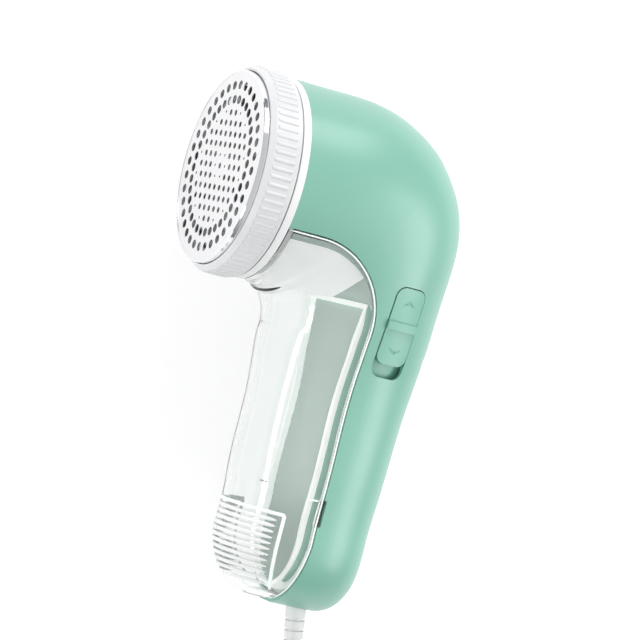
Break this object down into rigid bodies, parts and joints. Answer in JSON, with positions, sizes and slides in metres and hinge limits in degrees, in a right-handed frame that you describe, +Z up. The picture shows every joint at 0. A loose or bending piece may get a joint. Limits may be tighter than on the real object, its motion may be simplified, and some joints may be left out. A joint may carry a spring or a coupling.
{
  "type": "fabric shaver",
  "caption": "Plug-in fabric shaver: round perforated foil head in a ribbed lock ring, curved shell with a slide switch, clear lint bin in the handle, and a coiled cord with a plug.",
  "frame": {"origin": "centre of the shaver's box on the floor it lies on, without its cord and plug", "axes": "+Z up, the side with the switch facing up; -X the way the foil faces; +Y from the cord end to the head"},
  "size_m": [0.115, 0.2822, 0.066],
  "materials": {
    "steel_foil": "fine satin, punched",
    "chrome_rim": "polished",
    "white_ribbed": "satin white with fine ribs",
    "white_plastic": "satin white",
    "mint_plastic": "satin gloss mint green",
    "mint_switch": "satin mint green",
    "clear_plastic": "polished clear",
    "mint_panel": "satin grey green",
    "seal_white": "soft white",
    "spring_steel": "bright wire",
    "dark_steel": "blackened",
    "motor_steel": "zinc plated",
    "bronze": "sintered",
    "winding": "lacquered copper on laminations",
    "ferrite": "dark ferrite",
    "black_plastic": "moulded",
    "damper_rubber": "matt",
    "circuit_board": "solder mask",
    "screw_steel": "nickel plated",
    "cord_white": "soft white PVC",
    "plug_white": "moulded white",
    "pin_metal": "nickel-plated brass"
  },
  "bodies": {
    "root": {"head_collar": "white_plastic", "blade_chamber": "white_plastic", "lint_neck": "white_plastic", "motor_can": "motor_steel", "motor_end_cap": "black_plastic", "front_bush": "bronze", "rear_bush": "bronze", "motor_magnets": "ferrite", "motor_brushes": "ferrite", "motor_damper": "damper_rubber", "motor_cradle": "mint_panel", "motor_bracket": "black_plastic", "bracket_screws": "screw_steel", "housing_switch_side": "mint_plastic", "housing_plain_side": "mint_plastic", "housing_screws": "screw_steel", "bin_partition": "mint_panel", "bin_seal": "seal_white", "bin_catches": "dark_steel", "slide_switch_body": "black_plastic", "control_board": "circuit_board", "board_screws": "screw_steel", "bridge_rectifier": "black_plastic", "smoothing_capacitor": "black_plastic", "film_capacitor": "seal_white", "lockout_spring": "spring_steel", "lockout_switch": "black_plastic", "strain_relief": "cord_white", "inner_cord": "cord_white", "cord_clamp": "black_plastic", "clamp_screws": "screw_steel", "power_cord": "cord_white", "cord_coil": "cord_white", "coil_tie": "cord_white", "mains_plug": "plug_white", "plug_pins": "pin_metal", "plug_lead": "cord_white"},
    "slider": {"switch_slider": "mint_switch"},
    "bin": {"lint_bin": "clear_plastic"},
    "foil_cap": {"foil": "steel_foil", "foil_bezel": "chrome_rim"},
    "ring": {"lock_ring": "white_ribbed"},
    "rotor": {"motor_shaft": "motor_steel", "armature": "winding", "commutator": "bronze", "blade_holder": "black_plastic", "blades": "dark_steel", "hub_spring": "spring_steel"},
    "plunger": {"lockout_plunger": "white_plastic"}
  },
  "joints": [
    {"name": "switch_slide", "type": "slide", "parent": "root", "child": "slider", "axis": [0, -0.9746, -0.2239], "range_m": [0, 0.004]},
    {"name": "blade_spin", "type": "hinge", "parent": "root", "child": "rotor", "pos_m": [-0.03627, 0.06107, 0.033], "axis": [1, 0, 0], "continuous": true},
    {"name": "ring_pull", "type": "slide", "parent": "root", "child": "foil_cap", "axis": [-1, 0, 0], "range_m": [0, 0.03]},
    {"name": "ring_twist", "type": "hinge", "parent": "foil_cap", "child": "ring", "pos_m": [-0.03427, 0.06107, 0.033], "axis": [1, 0, 0], "range_deg": [0, 25]},
    {"name": "lockout_slide", "type": "slide", "parent": "root", "child": "plunger", "axis": [-1, 0, 0], "range_m": [0, 0.0015]},
    {"name": "bin_swing", "type": "hinge", "parent": "root", "child": "bin", "pos_m": [-0.02527, 0.02828, 0.0293], "axis": [0, 0.1122, -0.9937], "range_deg": [0, 25]}
  ],
  "couplings": [
    {"joint": "lockout_slide", "follows": "ring_pull", "ratio": 0.05}
  ]
}
